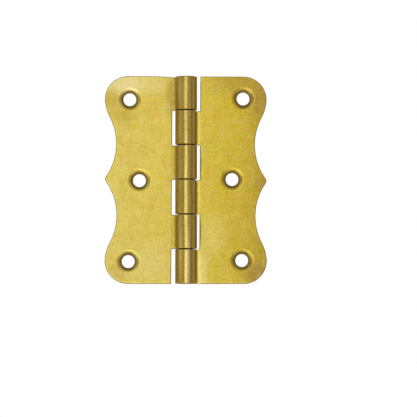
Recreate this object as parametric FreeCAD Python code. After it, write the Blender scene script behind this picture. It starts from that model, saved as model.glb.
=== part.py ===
import FreeCAD, Part
import math
import os

from FreeCAD import Vector

# A decorative butt hinge: two stamped leaves with a scalloped outline, whose
# rolled knuckles interleave on one plain pin. Sizes are in millimetres.
# The origin is on the pin's axis at mid height. Z runs up along the pin, the
# leaves lie open along X, and -Y is the front, where the barrel stands proud.

# Sheet and leaf
leaf_height = 100.0
leaf_reach = 38.97          # pin axis to the widest point of a shoulder
sheet_thickness = 2.0
edge_round = 0.45           # stamped edges, tumbled smooth

# Outline of a leaf's outer side. The leaf is described as the right one, whose
# top end is notched for a knuckle of the left one.
corner_radius = 11.1        # at the end of the straight top edge
shoulder_radius = 19.7      # flatter arc that follows, down the side
shoulder_drop = 10.5        # widest point of the shoulder below the top edge
scallop_radius = 27.9       # hollow between the shoulder and the point
tip_reach = 38.85           # pin axis to the end of the point
tip_drop = 0.4              # the point lies this far below mid height
tip_radius = 2.1            # its nose

# Screw holes
screw_hole_diameter = 6.2
countersink_diameter = 9.0
countersink_angle = 90.0
sink_rim_round = 3.3            # soft rim where a countersink meets the leaf's front
sink_rim_share = 0.9            # it takes no more than this of the slope, or of the front beside it
corner_hole_spacing = 78.0      # from the top one to the bottom one
corner_hole_from_pin = 27.3     # sideways from the pin's axis
middle_hole_from_pin = 22.3
hole_pattern_rise = 0.32        # the three holes were punched this far above mid height
hole_pattern_turn = 0.5         # and turned by so many degrees, the top one outwards

# Barrel
pin_diameter = 6.4
pin_clearance = 0.06        # radial, between the pin and a knuckle's bore
knuckles_per_leaf = 3
knuckle_gap = 0.2           # between two neighbouring knuckles
notch_clearance = 1.48      # between a barrel and the other leaf's notch
notch_slant = 0.35          # degrees out of true, a notch's side further out towards the top
notch_corner_radius = 0.4
seam_gap = 0.1              # between the rolled strip's free edge and the leaf
dish_run = 2.6              # beside the barrel a leaf's front is pressed in over this width
dish_depth = 0.18           # and so deep at the barrel's side
strip_corner_run = 3.0      # the free edge's upper corners round off over this width
strip_corner_drop = 0.45    # and fall back this far at the barrel's side
left_end_drop = 0.5         # the left leaf's end knuckle is cut this far below the top edge
left_end_run = 13.0         # and the cut starts this far from the pin's axis

# Pin
pin_end_recess = 0.2        # inside the ends of the barrel
pin_end_chamfer = 0.5
pin_grip_length = 8.0       # swelled end that holds the pin in the left leaf
pin_grip_press = 0.01       # radial interference there

# Worked out from the sizes above
half_height = leaf_height / 2
bore_radius = pin_diameter / 2 + pin_clearance
barrel_radius = bore_radius + sheet_thickness
front_plane = barrel_radius - sheet_thickness
notch_edge = barrel_radius + notch_clearance
knuckle_count = 2 * knuckles_per_leaf
knuckle_pitch = leaf_height / knuckle_count
overshoot = 2.0             # how far a cutting tool passes the faces it cuts
tolerance = 1e-4            # for telling which face an edge lies on


def point_towards(centre, target, radius):
    """The point at a radius from centre, on the way to target."""
    direction = target.sub(centre)
    direction.normalize()
    return centre.add(direction.multiply(radius))


def arc_about(centre, start, end):
    """The shorter arc from start to end about centre."""
    radius = start.distanceToPoint(centre)
    halfway = start.add(end).multiply(0.5)
    return Part.Arc(start, point_towards(centre, halfway, radius), end).toShape()


def line(start, end):
    return Part.LineSegment(start, end).toShape()


def circle_meeting(first, first_distance, second, second_distance):
    """The point at given distances from two points of the XZ plane, furthest out along X."""
    across = second.sub(first)
    span = across.Length
    along = (span**2 + first_distance**2 - second_distance**2) / (2 * span)
    height = math.sqrt(first_distance**2 - along**2)
    across.normalize()
    foot = first.add(Vector(across).multiply(along))
    sideways = Vector(across.z, 0, -across.x)
    if sideways.x < 0:
        sideways = sideways.multiply(-1)
    return foot.add(sideways.multiply(height))


def mirrored(point):
    return Vector(point.x, point.y, -point.z)


def leaf_outline():
    """Closed wire of the stamped blank, seen from the front, in the XZ plane."""
    shoulder = Vector(leaf_reach - shoulder_radius, 0, half_height - shoulder_drop)
    rise = half_height - corner_radius - shoulder.z
    corner_offset = math.sqrt((shoulder_radius - corner_radius)**2 - rise**2)
    corner = Vector(shoulder.x + corner_offset, 0, half_height - corner_radius)
    tip = Vector(tip_reach - tip_radius, 0, -tip_drop)

    top_inner = Vector(-barrel_radius - overshoot, 0, half_height)
    top_outer = Vector(corner.x, 0, half_height)
    corner_end = point_towards(shoulder, corner, shoulder_radius)

    def scalloped(shoulder, corner_end):
        """The shoulder's arc and the hollow after it, to the point's nose."""
        scallop = circle_meeting(
            shoulder, scallop_radius + shoulder_radius, tip, scallop_radius + tip_radius)
        shoulder_end = point_towards(scallop, shoulder, scallop_radius)
        scallop_end = point_towards(scallop, tip, scallop_radius)
        arcs = [arc_about(shoulder, corner_end, shoulder_end),
                arc_about(scallop, shoulder_end, scallop_end)]
        return arcs, scallop_end

    upper, nose_start = scalloped(shoulder, corner_end)
    lower, nose_end = scalloped(mirrored(shoulder), mirrored(corner_end))
    return Part.Wire(
        [line(top_inner, top_outer), arc_about(corner, top_outer, corner_end)]
        + upper
        + [arc_about(tip, nose_start, nose_end)]
        + lower[::-1]
        + [arc_about(mirrored(corner), mirrored(corner_end), mirrored(top_outer)),
           line(mirrored(top_outer), mirrored(top_inner)),
           line(mirrored(top_inner), top_inner)])


def rolled_section():
    """Section of the sheet across the pin: flat leaf, then the roll round the bore."""
    seam_height = front_plane - seam_gap
    free_angle = math.acos(seam_height / barrel_radius)

    def on_circle(radius, angle):
        return Vector(radius * math.sin(angle), radius * math.cos(angle), -half_height)

    top_of_roll = math.pi + free_angle / 2
    outer_start = on_circle(barrel_radius, 0)
    outer_middle = on_circle(barrel_radius, top_of_roll)
    outer_end = on_circle(barrel_radius, free_angle)
    inner_start = on_circle(bore_radius, 0)
    inner_middle = on_circle(bore_radius, top_of_roll)
    inner_end = on_circle(bore_radius, free_angle)
    back_far = Vector(leaf_reach + overshoot, barrel_radius, -half_height)
    front_far = Vector(leaf_reach + overshoot, front_plane, -half_height)
    section = Part.Wire([
        line(front_far, back_far),
        line(back_far, outer_start),
        Part.Arc(outer_start, outer_middle, outer_end).toShape(),
        line(outer_end, inner_end),
        Part.Arc(inner_end, inner_middle, inner_start).toShape(),
        line(inner_start, front_far),
    ])
    return Part.Face(section)


def knuckle_band(index, margin):
    """Lowest and highest point of a knuckle's place, counted from the bottom, grown by a margin."""
    low = -half_height + index * knuckle_pitch - margin
    return low, low + knuckle_pitch + 2 * margin


def notch(low, high):
    """Room for one knuckle of the other leaf, between two heights."""
    front = -barrel_radius - overshoot
    left = -barrel_radius - overshoot
    slant = math.tan(math.radians(notch_slant))
    corners = [Vector(left, front, low),
               Vector(notch_edge + low * slant, front, low),
               Vector(notch_edge + high * slant, front, high),
               Vector(left, front, high)]
    face = Part.Face(Part.makePolygon(corners + corners[:1]))
    block = face.extrude(Vector(0, -2 * front, 0))
    inner = [edge for edge in block.Edges
             if abs(edge.CenterOfMass.y) < tolerance and edge.CenterOfMass.x > 0]
    return block.makeFillet(notch_corner_radius, inner)


def strip_corner(end, side):
    """Sliver that rounds off a free edge's corner; side is +1 at a knuckle's top end."""
    radius = (strip_corner_run**2 + strip_corner_drop**2) / (2 * strip_corner_drop)
    start_x = barrel_radius - strip_corner_run
    centre = Vector(start_x, 0, end - side * radius)
    start = Vector(start_x, 0, end)
    reach = strip_corner_run + overshoot
    drop = radius - math.sqrt(radius**2 - reach**2)
    low = Vector(start_x + reach, 0, end - side * drop)
    high = Vector(start_x + reach, 0, end + side * overshoot)
    above = Vector(start_x, 0, end + side * overshoot)
    face = Part.Face(Part.Wire([
        arc_about(centre, start, low), line(low, high), line(high, above), line(above, start)]))
    front = -barrel_radius - overshoot
    back = front_plane - seam_gap / 2
    face.translate(Vector(0, front, 0))
    return face.extrude(Vector(0, back - front, 0))


def dish():
    """Sliver that the rolling tool pressed out of a leaf's front, in under the strip's free edge."""
    radius = (dish_run**2 + dish_depth**2) / (2 * dish_depth)
    bottom = -half_height - overshoot
    start = Vector(barrel_radius + dish_run, front_plane, bottom)
    end = Vector(barrel_radius, front_plane + dish_depth, bottom)
    under_strip = Vector(math.sqrt(barrel_radius**2 - front_plane**2), end.y, bottom)
    above_strip = Vector(under_strip.x, front_plane - seam_gap / 2, bottom)
    above_start = Vector(start.x, above_strip.y, bottom)
    face = Part.Face(Part.Wire([
        arc_about(start.add(Vector(0, radius, 0)), start, end),
        line(end, under_strip),
        line(under_strip, above_strip),
        line(above_strip, above_start),
        line(above_start, start),
    ]))
    return face.extrude(Vector(0, 0, leaf_height + 2 * overshoot))


def end_cut():
    """Wedge that shortens the end knuckle of the left leaf, seen as a right one."""
    corners = [Vector(left_end_run, 0, -half_height),
               Vector(notch_edge, 0, left_end_drop - half_height),
               Vector(-barrel_radius - overshoot, 0, left_end_drop - half_height),
               Vector(-barrel_radius - overshoot, 0, -half_height - overshoot),
               Vector(left_end_run, 0, -half_height - overshoot)]
    face = Part.Face(Part.makePolygon(corners + corners[:1]))
    front = -barrel_radius - overshoot
    face.translate(Vector(0, front, 0))
    return face.extrude(Vector(0, -2 * front, 0))


def hole_places():
    """Centres of the three screw holes, in the XZ plane."""
    turn = math.radians(hole_pattern_turn)
    places = []
    for x, z in ((corner_hole_from_pin, corner_hole_spacing / 2),
                 (middle_hole_from_pin, 0.0),
                 (corner_hole_from_pin, -corner_hole_spacing / 2)):
        across = x - middle_hole_from_pin
        places.append((middle_hole_from_pin + across * math.cos(turn) + z * math.sin(turn),
                       hole_pattern_rise + z * math.cos(turn) - across * math.sin(turn)))
    return places


def screw_hole(x, z):
    """Through hole with a countersink from the front."""
    hole_radius = screw_hole_diameter / 2
    sink_radius = countersink_diameter / 2
    sink_depth = (sink_radius - hole_radius) / math.tan(math.radians(countersink_angle / 2))
    backwards = Vector(0, 1, 0)
    drill = Part.makeCylinder(
        hole_radius, sheet_thickness + 2 * overshoot,
        Vector(x, front_plane - overshoot, z), backwards)
    sink = Part.makeCone(
        sink_radius, hole_radius, sink_depth, Vector(x, front_plane, z), backwards)
    mouth = Part.makeCylinder(
        sink_radius, overshoot, Vector(x, front_plane - overshoot, z), backwards)
    return drill.fuse([sink, mouth])


def points_along(edge, count=7):
    step = (edge.LastParameter - edge.FirstParameter) / (count - 1)
    return [edge.valueAt(edge.FirstParameter + step * index) for index in range(count)]


def on_back(point):
    """On the leaf's back, or on the outside of its barrel, which that face becomes."""
    on_plane = abs(point.y - barrel_radius) < tolerance and point.x > -tolerance
    return on_plane or abs(math.hypot(point.x, point.y) - barrel_radius) < tolerance


def on_front(point):
    return abs(point.y - front_plane) < tolerance and point.x > -tolerance


def stamped_edges(body):
    """The edges that the press cut, front and back, without the seam and the holes' rims."""
    found = []
    for edge in body.Edges:
        points = points_along(edge)
        if not (all(map(on_back, points)) or all(map(on_front, points))):
            continue
        upright = all(abs(point.x - points[0].x) < tolerance for point in points)
        beside_seam = upright and points[0].x < barrel_radius + tolerance
        if not (beside_seam or edge.isClosed()):
            found.append(edge)
    return found


def sink_rim_radius():
    """The rim's rounding, kept off the bore and off the leaf's rounded edge."""
    slope = math.radians(90 - countersink_angle / 2)
    down_slope = (countersink_diameter - screw_hole_diameter) / 2 / math.cos(slope)
    outline = leaf_outline()
    to_outline = min(outline.distToShape(Part.Vertex(x, 0, z))[0] for x, z in hole_places())
    to_edge = to_outline - countersink_diameter / 2 - edge_round
    room = sink_rim_share * min(down_slope, to_edge)
    return min(sink_rim_round, room / math.tan(slope / 2))


def sink_rims(body):
    """The countersinks' edges on the leaf's front."""
    return [edge for edge in body.Edges
            if edge.isClosed() and all(map(on_front, points_along(edge)))]


def leaf(corner_side, end_cuts):
    """A leaf as the right one, with its strip's free corners rounded on one side, +1 for the top."""
    sheet = rolled_section().extrude(Vector(0, 0, leaf_height))
    blank_face = Part.Face(leaf_outline())
    blank_face.translate(Vector(0, -barrel_radius - overshoot, 0))
    blank = blank_face.extrude(Vector(0, 2 * (barrel_radius + overshoot), 0))
    body = sheet.common(blank)

    notches = []
    for index in range(1, knuckle_count, 2):
        low, high = knuckle_band(index, knuckle_gap / 2)
        if index == knuckle_count - 1:
            high = half_height + overshoot
        notches.append(notch(low, high))

    corners = []
    for index in range(0, knuckle_count, 2):
        low, high = knuckle_band(index, -knuckle_gap / 2)
        if corner_side > 0:
            corners.append(strip_corner(high, 1))
        elif index > 0:
            corners.append(strip_corner(low, -1))

    holes = [screw_hole(x, z) for x, z in hole_places()]
    body = body.cut(notches + corners + holes + end_cuts).removeSplitter()
    body = body.makeFillet(edge_round, stamped_edges(body))
    return body.makeFillet(sink_rim_radius(), sink_rims(body)).cut(dish())


def hinge_pin():
    bottom = pin_end_recess - half_height
    top = half_height - left_end_drop - pin_end_recess
    shank = Part.makeCylinder(pin_diameter / 2, top - bottom, Vector(0, 0, bottom))
    grip = Part.makeCylinder(
        bore_radius + pin_grip_press, pin_grip_length, Vector(0, 0, top - pin_grip_length))
    pin = shank.fuse(grip).removeSplitter()
    rims = [edge for edge in pin.Edges
            if min(abs(edge.CenterOfMass.z - top), abs(edge.CenterOfMass.z - bottom)) < tolerance]
    return pin.makeChamfer(pin_end_chamfer, rims)


def main():
    # Both leaves are one stamping; the left one is turned end for end.
    right_leaf = leaf(1, [])
    left_leaf = leaf(-1, [end_cut()])
    left_leaf.rotate(Vector(0, 0, 0), Vector(0, 1, 0), 180)
    pieces = {
        "left_leaf": left_leaf,
        "right_leaf": right_leaf,
        "hinge_pin": hinge_pin(),
    }
    os.makedirs("parts", exist_ok=True)
    for name, shape in pieces.items():
        shape.Solids[0].exportStep(os.path.join("parts", name + ".step"))
        print(name, len(shape.Solids), "solid", shape.isValid(), round(shape.Volume, 1), "mm3")


main()
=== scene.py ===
# Decorative butt hinge in brass-plated steel: two scalloped leaves on a plain pin.
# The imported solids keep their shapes. This script gives them their finish, and sets light and camera.

import math

import bpy
from mathutils import Matrix, Vector


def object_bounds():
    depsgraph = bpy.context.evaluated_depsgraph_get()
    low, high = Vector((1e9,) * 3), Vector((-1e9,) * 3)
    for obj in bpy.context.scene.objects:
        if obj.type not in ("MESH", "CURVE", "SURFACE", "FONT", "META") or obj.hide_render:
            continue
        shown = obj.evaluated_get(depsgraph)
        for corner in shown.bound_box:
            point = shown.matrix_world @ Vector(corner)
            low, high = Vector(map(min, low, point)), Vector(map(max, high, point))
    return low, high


mm = 0.001                      # the scene is in metres, the notes below in millimetres
noiseLow = 0.3                  # nearly all of a noise texture lies between these two
noiseHigh = 0.7

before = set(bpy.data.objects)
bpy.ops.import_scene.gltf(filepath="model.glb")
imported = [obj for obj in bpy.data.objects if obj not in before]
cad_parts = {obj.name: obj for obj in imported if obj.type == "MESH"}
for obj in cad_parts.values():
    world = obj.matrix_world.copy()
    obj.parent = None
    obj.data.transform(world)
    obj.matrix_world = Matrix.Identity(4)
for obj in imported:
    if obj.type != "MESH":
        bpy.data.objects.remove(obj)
cadLow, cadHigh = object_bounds()
scene = bpy.context.scene
scene.view_settings.view_transform = "Standard"
print("frame loaded:", ", ".join(sorted(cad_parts)))


# an sRGB hex value as the linear colour that a socket takes
def linearColour(hexCode):
    channels = []
    for start in (1, 3, 5):
        value = int(hexCode[start:start + 2], 16) / 255
        channels.append(value / 12.92 if value <= 0.04045 else ((value + 0.055) / 1.055) ** 2.4)
    return (*channels, 1.0)


# One node, its settings, and its sockets, each given a value or linked to another node's output. Sockets of
# a Mix node share their names, so its two colours go by their numbers, 6 and 7, and its mixed colour by 2.
def addNode(tree, kind, settings=None, sockets=None):
    node = tree.nodes.new(kind)
    for name, value in (settings or {}).items():
        setattr(node, name, value)
    for name, value in (sockets or {}).items():
        if isinstance(value, bpy.types.NodeSocket):
            tree.links.new(value, node.inputs[name])
        else:
            node.inputs[name].default_value = value
    return node


# a new material with only a Principled shader, and its tree
def newMaterial(name):
    material = bpy.data.materials.new(name)
    material.use_nodes = True
    tree = material.node_tree
    return material, tree, tree.nodes["Principled BSDF"]


# Camera, fitted to the hole centres, the outline and the barrel's sides in the photograph
camera = {
    "place": (-41.0, -1194.9, -68.4),   # mm from the hinge's middle
    "turn": 2.48,                       # degrees to the right of straight ahead
    "rise": 2.61,                       # degrees above level
    "lens": 215.5,                      # mm
    "sensor": 36.0,                     # mm wide
    "sight": (50.0, 20000.0),           # mm, the nearest and farthest that it sees
}


def makeCamera(values):
    near, far = values["sight"]
    data = bpy.data.cameras.new("camera")
    data.lens = values["lens"]
    data.sensor_width = values["sensor"]
    data.clip_start = near * mm
    data.clip_end = far * mm
    item = bpy.data.objects.new("camera", data)
    item.location = Vector(values["place"]) * mm
    item.rotation_euler = (math.radians(90 + values["rise"]), 0, math.radians(-values["turn"]))
    scene.collection.objects.link(item)
    scene.camera = item


makeCamera(camera)
print("camera placed")


# Studio: a white surround and floor, a soft lamp beside the camera and a weaker one low at the left. Warm
# grey cards that only the metal mirrors stand in front and at both sides, and lie above and below.
studio = {
    "surround": "#FFFFFF",
    "floor": "#FFFFFF",
    "floorRoughness": 0.9,
    "floorDepth": -900.0,               # mm, clear below the hinge
    "floorWidth": 5000.0,
    "lamps": (                          # turn and rise in degrees, distance, width and height in mm, watts
        (-5.5, -9, 1100, 330, 700, 0.55),
        (-18, -18, 1000, 260, 260, 0.15),
    ),
    "cardDistance": 700.0,
    "cards": (                          # from and to, round the hinge and then up, in degrees, and the tone
        (-52, -19, -12, 20, "#B8B1A1"),
        (-74, -52, -45, 45, "#D2CBBB"),
        (-112, -74, -45, 45, "#AFA899"),
        (13, 46, -20, 20, "#B8B1A1"),
        (46, 74, -45, 45, "#9F998C"),
        (74, 100, -45, 45, "#B5AE9F"),
        (100, 125, -45, 45, "#8E887C"),
        (-52, 46, 25, 45, "#A8A192"),
        (-52, 46, -48, -33, "#8A8578"),
    ),
    "levelCards": (                     # height, width and front edge in mm, and the tone
        (600, 1400, -700, "#9C9689"),
        (-750, 1400, -700, "#B8B1A1"),
    ),
}


# where a lamp stands that faces the hinge, with its turn to the right and rise above level in degrees
def facing(turn, rise, distance):
    around = math.radians(turn)
    up = math.radians(rise)
    away = Vector((math.sin(around) * math.cos(up), -math.cos(around) * math.cos(up), math.sin(up)))
    return Matrix.Translation(away * distance * mm) @ away.to_track_quat("Z", "Y").to_matrix().to_4x4()


def makePanel(name, corners, material):
    mesh = bpy.data.meshes.new(name)
    mesh.from_pydata([Vector(corner) * mm for corner in corners], [], [list(range(len(corners)))])
    mesh.materials.append(material)
    item = bpy.data.objects.new(name, mesh)
    scene.collection.objects.link(item)
    return item


# a card that glows evenly and is seen only in the metal, so that floor and background stay evenly white
def makeCard(name, corners, tone):
    material, tree, shader = newMaterial(name + "Card")
    glow = addNode(tree, "ShaderNodeEmission", {}, {"Color": linearColour(tone)})
    tree.links.new(glow.outputs[0], tree.nodes["Material Output"].inputs["Surface"])
    tree.nodes.remove(shader)
    item = makePanel(name, corners, material)
    item.visible_camera = False
    item.visible_diffuse = False
    item.visible_shadow = False


def makeStudio(values):
    world = bpy.data.worlds.new("whiteSurround")
    world.use_nodes = True
    world.node_tree.nodes["Background"].inputs["Color"].default_value = linearColour(values["surround"])
    world.cycles.sampling_method = "NONE"       # it is even, so no part of it needs seeking out
    scene.world = world

    paint, _, shader = newMaterial("mattWhiteFloorPaint")
    shader.inputs["Base Color"].default_value = linearColour(values["floor"])
    shader.inputs["Roughness"].default_value = values["floorRoughness"]
    half = values["floorWidth"] / 2
    depth = values["floorDepth"]
    makePanel("floor", [(-half, -half, depth), (half, -half, depth),
                        (half, half, depth), (-half, half, depth)], paint)

    for turn, rise, distance, width, height, power in values["lamps"]:
        lamp = bpy.data.lights.new("softbox", "AREA")
        lamp.shape = "RECTANGLE"
        lamp.size = width * mm
        lamp.size_y = height * mm
        lamp.energy = power
        item = bpy.data.objects.new("softbox", lamp)
        item.matrix_world = facing(turn, rise, distance)
        scene.collection.objects.link(item)

    reach = values["cardDistance"]
    for index, (start, end, low, high, tone) in enumerate(values["cards"]):
        corners = []
        for turn, rise in ((start, low), (end, low), (end, high), (start, high)):
            around = math.radians(turn)
            up = math.radians(rise)
            corners.append((math.sin(around) * reach, -math.cos(around) * reach, math.tan(up) * reach))
        makeCard("side%d" % (index + 1), corners, tone)
    for index, (height, width, front, tone) in enumerate(values["levelCards"]):
        half = width / 2
        makeCard("level%d" % (index + 1), [(-half, front, height), (half, front, height),
                                           (half, half, height), (-half, half, height)], tone)


makeStudio(studio)
print("studio lit")


allAlong = 400.0                # mm, a spot's half height that keeps it even along the whole barrel


# Brass-plated steel sheet, stamped, rolled, tumbled and lacquered. It is a satin yellow, with painted light
# that makes it paler to the left, duller to the outer right and brighter towards the top, and spots of
# painted light and shade. It has olive, ochre and pale clouds, greyish specks and faint lines rubbed both
# ways. The rolled barrel is smoother and browner, with fine lines along it, painted reflections and
# highlights across its front, and dark lips of painted shade where a knuckle faces the next one. Stamped
# edges, countersinks and the barrel's own ends are darker, where the plating is thin, and with painted
# shade.
leafFinish = {
    "tonesAndPaintedLight": (                          # mm to the right of the pin's axis, and the tone there: the plating's colour with painted light
        (-39, "#D3C05A"),
        (-10, "#D4BE4C"),
        (10, "#D2BA39"),
        (26, "#CAB032"),
        (39, "#B4962A"),
    ),
    "paintedTopLight": 1.12,                   # painted light: brightness at the top, which evenly gives way
    "paintedFootLight": 1.0,                    # to this
    "paintedFootLightFrom": 0.7,                # at this share of the way down from the pin's middle
    "sheet": 2.0,                       # mm thick
    "clouds": (                         # tone, and how far aside its noise is taken, in mm
        ("#C2B83A", (0, 0, 0)),
        ("#D2A83E", (300, 100, 200)),
        ("#D6C25C", (700, 400, 100)),
    ),
    "cloudSize": 5.0,                   # mm across
    "cloudNoise": (0.45, 0.7),          # where in the noise a cloud starts, and has its full share
    "cloudShare": 0.35,                 # of its tone, at the most
    "specks": ((0.6, 0.145), (1.5, 0.035)),     # mm across, and how much of their tone they add or take
    "speckTone": "#BCB670",
    "rubWidth": 0.5,                    # mm, of the rubbed lines, which are drawn coarse enough to show
    "rubLength": 12.0,
    "rubDepth": 0.05,                   # how much of the specks' tone they add or take
    "rolledBrass": "#D8C060",           # the barrel's lines lie between these two
    "rolledBrown": "#B89C44",
    "lineWidth": 0.5,                   # mm, of the lines along the barrel, also drawn coarse
    "lineLength": 14.0,
    "sunk": "#A8924C",                  # tone of the countersinks, with thin plating and painted shade
    "cut": "#8A733A",                   # of cut walls and the barrel's own ends, also with painted shade
    "lip": "#563606",                   # painted shade on a knuckle's end that faces the next one
    "satin": 0.42,                      # roughness of the leaves
    "rolledShine": 0.26,                # and of the barrel
    "burnish": (5.3, 8.6),              # mm from the pin's axis, over which the rolling tool's shine fades
    "cutRoughness": 0.4,                # of the countersinks and cut walls
    "grainHeight": 0.004,               # mm, of the tumbled grain
    "grainSize": 0.9,                   # mm, coarse enough to show
    "lacquer": 0.4,                     # on the leaves, on average
    "barrelLacquer": 1.0,
    "lipLacquer": 0.2,
    "wearSize": 4.0,                    # mm across, of the larger patches
    "lacquerRoughness": 0.09,
    "edgeTint": "#C8B080",              # what a grazing look at the metal is toned with
    "barrelEdge": (5.3, 5.8),           # mm from the pin's axis, where the roll gives way to the leaf
    "sunkTilt": (0.38, 0.6),            # sines of a leaf's slope at which it starts to dull, and is dull
    "cutTilt": (0.85, 0.98),            # the same for a cut wall's tone
    "lipTilt": (0.3, 0.85),             # and along the barrel, for the tone of a knuckle's end
    "barrelEnd": (2.0, 1.0),            # mm in from top and foot, over which the barrel's own ends start
    "edgeWidth": 1.0,                   # mm, of the band along edges and rims that the tumbling polished
    "edgeTilt": (0.02, 0.12),           # sines of the smoothed slope at which it starts, and is full
    "edgeShine": 0.3,                   # its roughness
    # spots of painted light and shade on the leaves
    "paintedLightSpots": (                          # middle across and up, half width and height in mm, tone, share
        (-29, 46, 14, 8, "#F0E4AC", 0.55),              # painted highlight, a pale haze in the top left corner
        (-16, 46, 10, 7, "#E4D484", 0.55),              # which runs out along the top
        (-7, 40, 4, 14, "#A88C3C", 0.5),                # painted shade, browner up beside the barrel
        (-36, 38, 6, 9, "#BCA434", 0.6),                # painted shade, ochre beside the top left hole
        (-30, 31, 8, 6, "#C0A22C", 0.6),                # and below it
        (-34, -45, 8, 7, "#BCA04C", 0.5),               # painted shade, duller bottom left corner
        (36, 38, 7, 12, "#AC8C3C", 0.6),                # painted shade, brown on the right shoulder
        (34, -45, 10, 8, "#A08040", 0.6),               # and lower corner
        (37, -1, 6, 6, "#AC8A3C", 0.5),                 # and point
        (-18, -40, 18, 16, "#D8C67C", 0.35),            # painted light, hazy towards the bottom of the left leaf
        (-34, -10, 8, 6, "#D0C070", 0.3),               # and below its point
        (13, -27, 9, 15, "#E2D07C", 0.42),              # painted light, paler low on the right leaf
        (8, -44, 4, 16, "#EBDA98", 0.4),                # and beside the foot of the barrel
        (26, 48, 20, 11, "#A88C30", 0.45),              # painted shade, duller along the top of the right leaf
        (6.8, 41.7, 1.0, 12, "#5C4A20", 0.9),           # painted shade, dark beside the left leaf's knuckles
        (6.8, 8.3, 1.0, 12, "#5C4A20", 0.9),
        (6.7, -25, 1.0, 12, "#5C4A20", 0.9),
        (-5.4, 0, 2.8, allAlong, "#9A8034", 0.45),      # painted shade, darker along the seam
        (5.4, 0, 1.5, allAlong, "#F0DC88", 0.6),        # painted highlight, paler along the back of the roll
    ),
    # painted reflections and highlights across the front of the barrel
    "barrelPaintedReflections": (                    # the same on the front of the barrel
        (-1.9, 0, 1.3, allAlong, "#BC9C08", 0.6),       # painted reflection, more golden to the left of the middle
        (2.5, 0, 1.0, allAlong, "#BC9424", 0.5),        # browner to the right of it
        (4.0, 0, 0.7, allAlong, "#E8B878", 0.4),        # and paler again at its right side
        (-3.5, 42, 0.9, 10, "#F0D480", 0.5),            # painted highlight, brighter at the left of the top knuckle
        (-1.5, 42, 0.8, 10, "#E8CC78", 0.5),
        (-2.8, -34, 1.2, 22, "#F4DC84", 0.6),           # and of the two lowest
        (0.9, -37, 1.1, 22, "#FFF0B4", 0.65),           # where the middle is brighter too
    ),
    "barrelPaintedReflectionDepth": 3.0,             # mm, in from the front
    "spotCore": 0.2,                    # of a spot's size, within which it has its full share
}


# noise stretched along one direction, as (x, y, z) sizes in mm
def streaks(tree, place, sizes):
    scaled = addNode(tree, "ShaderNodeVectorMath", {"operation": "DIVIDE"},
                     {0: place, 1: tuple(size * mm for size in sizes)})
    noise = addNode(tree, "ShaderNodeTexNoise", {},
                    {"Vector": scaled.outputs[0], "Scale": 1.0, "Detail": 3.0, "Roughness": 0.65})
    return noise.outputs[0]


# a texture as relief of this height in mm
def addRelief(tree, shader, texture, height):
    metres = addNode(tree, "ShaderNodeMath", {"operation": "MULTIPLY"}, {0: texture, 1: height * mm})
    bump = addNode(tree, "ShaderNodeBump", {},
                   {"Height": metres.outputs[0], "Distance": 1.0, "Strength": 1.0})
    tree.links.new(bump.outputs[0], shader.inputs["Normal"])


# soft spots of painted light, shade and reflection over a colour, round a level in y and so deep each way,
# in metres
def addPaintedLightSpots(tree, place, colour, paintedLightSpots, core, level, depth):
    for x, z, halfWidth, halfHeight, tone, strength in paintedLightSpots:
        fromMiddle = addNode(tree, "ShaderNodeVectorMath", {"operation": "SUBTRACT"},
                             {0: place, 1: (x * mm, level, z * mm)})
        inSpot = addNode(tree, "ShaderNodeVectorMath", {"operation": "DIVIDE"},
                         {0: fromMiddle.outputs[0], 1: (halfWidth * mm, depth, halfHeight * mm)})
        reach = addNode(tree, "ShaderNodeVectorMath", {"operation": "LENGTH"}, {0: inSpot.outputs[0]})
        share = addNode(tree, "ShaderNodeMapRange", {"interpolation_type": "SMOOTHSTEP"},
                        {"Value": reach.outputs["Value"], "From Min": 1.0, "From Max": core,
                         "To Max": strength})
        colour = addNode(tree, "ShaderNodeMix", {"data_type": "RGBA"},
                         {"Factor": share.outputs[0], 6: colour, 7: linearColour(tone)}).outputs[2]
    return colour


# brass plating over the open leaves: a tone that drifts from left to right and brightens towards the top,
# both painted light, with clouds, and soft spots of painted light and shade
def leafColour(tree, place, values):
    parts = addNode(tree, "ShaderNodeSeparateXYZ", {}, {0: place})
    tonesAndPaintedLight = values["tonesAndPaintedLight"]
    first, last = tonesAndPaintedLight[0][0], tonesAndPaintedLight[-1][0]
    across = addNode(tree, "ShaderNodeMapRange", {},
                     {"Value": parts.outputs["X"], "From Min": first * mm, "From Max": last * mm})
    ramp = addNode(tree, "ShaderNodeValToRGB", {}, {0: across.outputs[0]})
    stops = ramp.color_ramp.elements
    for reach, tone in tonesAndPaintedLight:
        share = (reach - first) / (last - first)
        if share == 0:
            stop = stops[0]
        elif share == 1:
            stop = stops[-1]
        else:
            stop = stops.new(share)
        stop.color = linearColour(tone)
    # painted light, brighter towards the top than at the foot
    foot = cadLow[2] * values["paintedFootLightFrom"]
    paintedUpwardLight = addNode(tree, "ShaderNodeMapRange", {},
                     {"Value": parts.outputs["Z"], "From Min": foot, "From Max": cadHigh[2],
                      "To Min": values["paintedFootLight"], "To Max": values["paintedTopLight"]})
    colour = addNode(tree, "ShaderNodeVectorMath", {"operation": "SCALE"},
                     {0: ramp.outputs["Color"], "Scale": paintedUpwardLight.outputs[0]}).outputs[0]

    low, high = values["cloudNoise"]
    for tone, aside in values["clouds"]:
        shifted = addNode(tree, "ShaderNodeVectorMath", {"operation": "ADD"},
                          {0: place, 1: tuple(step * mm for step in aside)})
        cloud = addNode(tree, "ShaderNodeTexNoise", {},
                        {"Vector": shifted.outputs[0], "Scale": 1 / (values["cloudSize"] * mm),
                         "Detail": 3.0, "Roughness": 0.6})
        share = addNode(tree, "ShaderNodeMapRange", {"interpolation_type": "SMOOTHSTEP"},
                        {"Value": cloud.outputs[0], "From Min": low, "From Max": high,
                         "To Max": values["cloudShare"]})
        colour = addNode(tree, "ShaderNodeMix", {"data_type": "RGBA"},
                         {"Factor": share.outputs[0], 6: colour, 7: linearColour(tone)}).outputs[2]

    # the painted light spots lie on the front and fade out at the back
    sheet = values["sheet"] * mm
    return addPaintedLightSpots(tree, place, colour, values["paintedLightSpots"], values["spotCore"], cadHigh[1] - sheet, sheet)
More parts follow.
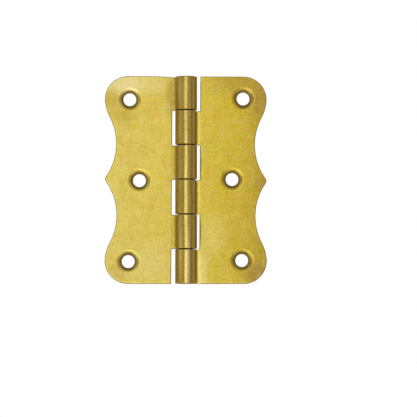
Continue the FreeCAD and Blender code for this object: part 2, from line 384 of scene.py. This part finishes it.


# browner brass over the rolled barrel, with fine lines along it and spots of painted reflection on its
# front
def barrelColour(tree, place, values):
    width = values["lineWidth"]
    lines = addNode(tree, "ShaderNodeMapRange", {},
                    {"Value": streaks(tree, place, (width, width, values["lineLength"])),
                     "From Min": noiseLow, "From Max": noiseHigh})
    colour = addNode(tree, "ShaderNodeMix", {"data_type": "RGBA"},
                     {"Factor": lines.outputs[0], 6: linearColour(values["rolledBrown"]),
                      7: linearColour(values["rolledBrass"])}).outputs[2]
    depth = values["barrelPaintedReflectionDepth"] * mm
    return addPaintedLightSpots(tree, place, colour, values["barrelPaintedReflections"], values["spotCore"], cadLow[1], depth)


# rubbed lines both ways and specks, which add or take away a little of a greyer tone
def addSpecks(tree, place, colour, values):
    width = values["rubWidth"]
    length = values["rubLength"]
    textures = [(streaks(tree, place, (length, width, width)), values["rubDepth"]),
                (streaks(tree, place, (width, width, length)), values["rubDepth"])]
    for size, depth in values["specks"]:
        speck = addNode(tree, "ShaderNodeTexNoise", {},
                        {"Vector": place, "Scale": 1 / (size * mm), "Detail": 2.0})
        textures.append((speck.outputs[0], depth))
    tone = linearColour(values["speckTone"])[:3]
    for texture, depth in textures:
        shade = addNode(tree, "ShaderNodeMapRange", {},
                        {"Value": texture, "From Min": noiseLow, "From Max": noiseHigh,
                         "To Min": -depth, "To Max": depth})
        colour = addNode(tree, "ShaderNodeVectorMath", {"operation": "MULTIPLY_ADD"},
                         {0: shade.outputs[0], 1: tone, 2: colour}).outputs[0]
    return colour


# How steep the surface is, seen from the leaf's front or along the barrel: 0 on it, 1 on a cut wall or a
# knuckle's end. The mask for the polished band takes a normal that is smoothed over the band's width.
def steepMasks(tree, coordinates, flat, values):
    sideways = addNode(tree, "ShaderNodeCombineXYZ", {}, {"X": flat, "Y": 0.0, "Z": 1.0})
    rolled = addNode(tree, "ShaderNodeMath", {"operation": "SUBTRACT"}, {0: 1.0, 1: flat}).outputs[0]
    bevel = addNode(tree, "ShaderNodeBevel", {"samples": 8}, {"Radius": values["edgeWidth"] * mm})
    smoothed = addNode(tree, "ShaderNodeVectorTransform",
                       {"vector_type": "NORMAL", "convert_from": "WORLD", "convert_to": "OBJECT"},
                       {0: bevel.outputs[0]}).outputs[0]
    plain = coordinates.outputs["Normal"]
    masks = {}
    for name, normal, side in (("sunkTilt", plain, flat), ("cutTilt", plain, flat),
                               ("lipTilt", plain, rolled), ("edgeTilt", smoothed, flat)):
        slope = addNode(tree, "ShaderNodeVectorMath", {"operation": "MULTIPLY"},
                        {0: normal, 1: sideways.outputs[0]})
        tilt = addNode(tree, "ShaderNodeVectorMath", {"operation": "LENGTH"}, {0: slope.outputs[0]})
        low, high = values[name]
        steep = addNode(tree, "ShaderNodeMapRange", {"interpolation_type": "SMOOTHSTEP"},
                        {"Value": tilt.outputs["Value"], "From Min": low, "From Max": high})
        masks[name] = addNode(tree, "ShaderNodeMath", {"operation": "MULTIPLY"},
                              {0: steep.outputs[0], 1: side}).outputs[0]
    return masks


# Dull tones on countersinks, cut walls and knuckle ends, where the plating is thin, with painted shade in
# these hollows and gaps. A knuckle's end is painted dark with shade where it faces the next knuckle, and a
# plain cut edge at the barrel's own ends.
def addDullTonesAndPaintedShade(tree, place, colour, masks, values):
    parts = addNode(tree, "ShaderNodeSeparateXYZ", {}, {0: place})
    fromMiddle = addNode(tree, "ShaderNodeMath", {"operation": "ABSOLUTE"}, {0: parts.outputs["Z"]})
    start, end = values["barrelEnd"]
    atEnd = addNode(tree, "ShaderNodeMapRange", {},
                    {"Value": fromMiddle.outputs[0], "From Min": cadHigh[2] - start * mm,
                     "From Max": cadHigh[2] - end * mm})
    cut = linearColour(values["cut"])
    lip = addNode(tree, "ShaderNodeMix", {"data_type": "RGBA"},
                  {"Factor": atEnd.outputs[0], 6: linearColour(values["lip"]), 7: cut}).outputs[2]
    for mask, tone in (("sunkTilt", linearColour(values["sunk"])), ("cutTilt", cut), ("lipTilt", lip)):
        colour = addNode(tree, "ShaderNodeMix", {"data_type": "RGBA"},
                         {"Factor": masks[mask], 6: colour, 7: tone}).outputs[2]
    return colour


def makeLeafMaterial(values):
    material, tree, shader = newMaterial("brassPlatedSteelSheet")
    coordinates = addNode(tree, "ShaderNodeTexCoord")
    place = coordinates.outputs["Object"]

    # how far from the pin's axis: 0 on the barrel, 1 on the flat leaf
    acrossPin = addNode(tree, "ShaderNodeVectorMath", {"operation": "MULTIPLY"},
                        {0: place, 1: (1, 1, 0)})
    fromAxis = addNode(tree, "ShaderNodeVectorMath", {"operation": "LENGTH"},
                       {0: acrossPin.outputs[0]}).outputs["Value"]
    low, high = values["barrelEdge"]
    flat = addNode(tree, "ShaderNodeMapRange", {"interpolation_type": "SMOOTHSTEP"},
                   {"Value": fromAxis, "From Min": low * mm, "From Max": high * mm}).outputs[0]
    masks = steepMasks(tree, coordinates, flat, values)

    barrel = barrelColour(tree, place, values)
    colour = addNode(tree, "ShaderNodeMix", {"data_type": "RGBA"},
                     {"Factor": flat, 6: barrel, 7: leafColour(tree, place, values)}).outputs[2]
    colour = addSpecks(tree, place, colour, values)
    colour = addDullTonesAndPaintedShade(tree, place, colour, masks, values)
    tree.links.new(colour, shader.inputs["Base Color"])

    low, high = values["burnish"]
    rough = addNode(tree, "ShaderNodeMapRange", {},
                    {"Value": fromAxis, "From Min": low * mm, "From Max": high * mm,
                     "To Min": values["rolledShine"], "To Max": values["satin"]}).outputs[0]
    for mask, target in (("edgeTilt", "edgeShine"), ("sunkTilt", "cutRoughness")):
        rough = addNode(tree, "ShaderNodeMix", {"data_type": "FLOAT"},
                        {"Factor": masks[mask], "A": rough, "B": values[target]}).outputs["Result"]
    tree.links.new(rough, shader.inputs["Roughness"])

    grain = addNode(tree, "ShaderNodeTexNoise", {},
                    {"Vector": place, "Scale": 1 / (values["grainSize"] * mm), "Detail": 3.0})
    addRelief(tree, shader, grain.outputs[0], values["grainHeight"])

    # the lacquer is whole on the barrel, thin on its dark lips, and worn patchy on the leaves
    wear = addNode(tree, "ShaderNodeTexNoise", {},
                   {"Vector": place, "Scale": 1 / (values["wearSize"] * mm),
                    "Detail": 5.0, "Roughness": 0.7})
    patchy = addNode(tree, "ShaderNodeMapRange", {},
                     {"Value": wear.outputs[0], "From Min": noiseLow, "From Max": noiseHigh,
                      "To Max": 2 * values["lacquer"]})
    whole = addNode(tree, "ShaderNodeMix", {"data_type": "FLOAT"},
                    {"Factor": flat, "A": values["barrelLacquer"], "B": patchy.outputs[0]})
    lacquer = addNode(tree, "ShaderNodeMix", {"data_type": "FLOAT"},
                      {"Factor": masks["lipTilt"], "A": whole.outputs["Result"],
                       "B": values["lipLacquer"]})
    tree.links.new(lacquer.outputs["Result"], shader.inputs["Coat Weight"])

    shader.inputs["Metallic"].default_value = 1.0
    shader.inputs["Specular Tint"].default_value = linearColour(values["edgeTint"])
    shader.inputs["Coat Roughness"].default_value = values["lacquerRoughness"]
    return material


# Drawn steel wire with a thin brass plating: darker than the leaves, partly as painted shade where it shows
# in the gaps between the knuckles, with fine lines drawn along it that show the steel, and duller where the
# plating is missing
pinFinish = {
    "brass": "#94743A",
    "steel": "#5E4C30",
    "lineWidth": 0.4,                   # mm, coarse enough to show
    "lineLength": 9.0,
    "lineNoise": (0.35, 0.65),          # where in the noise the brass starts to give way, and is gone
    "lineHeight": 0.003,                # mm
    "shine": (0.28, 0.5),               # roughness on the brass, and on the steel
}


def makePinMaterial(values):
    material, tree, shader = newMaterial("brassPlatedSteelWire")
    place = addNode(tree, "ShaderNodeTexCoord").outputs["Object"]
    width = values["lineWidth"]
    lines = streaks(tree, place, (width, width, values["lineLength"]))
    low, high = values["lineNoise"]
    bare = addNode(tree, "ShaderNodeMapRange", {}, {"Value": lines, "From Min": low, "From Max": high})
    colour = addNode(tree, "ShaderNodeMix", {"data_type": "RGBA"},
                     {"Factor": bare.outputs[0], 6: linearColour(values["brass"]),
                      7: linearColour(values["steel"])})
    tree.links.new(colour.outputs[2], shader.inputs["Base Color"])
    bright, dull = values["shine"]
    rough = addNode(tree, "ShaderNodeMapRange", {},
                    {"Value": bare.outputs[0], "To Min": bright, "To Max": dull})
    tree.links.new(rough.outputs[0], shader.inputs["Roughness"])
    addRelief(tree, shader, lines, values["lineHeight"])
    shader.inputs["Metallic"].default_value = 1.0
    return material


leafMaterial = makeLeafMaterial(leafFinish)
pinMaterial = makePinMaterial(pinFinish)
finishes = {"left_leaf": leafMaterial, "right_leaf": leafMaterial, "hinge_pin": pinMaterial}
for name, material in finishes.items():
    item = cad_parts[name]
    item.data.materials.clear()
    item.data.materials.append(material)
print("finishes given")
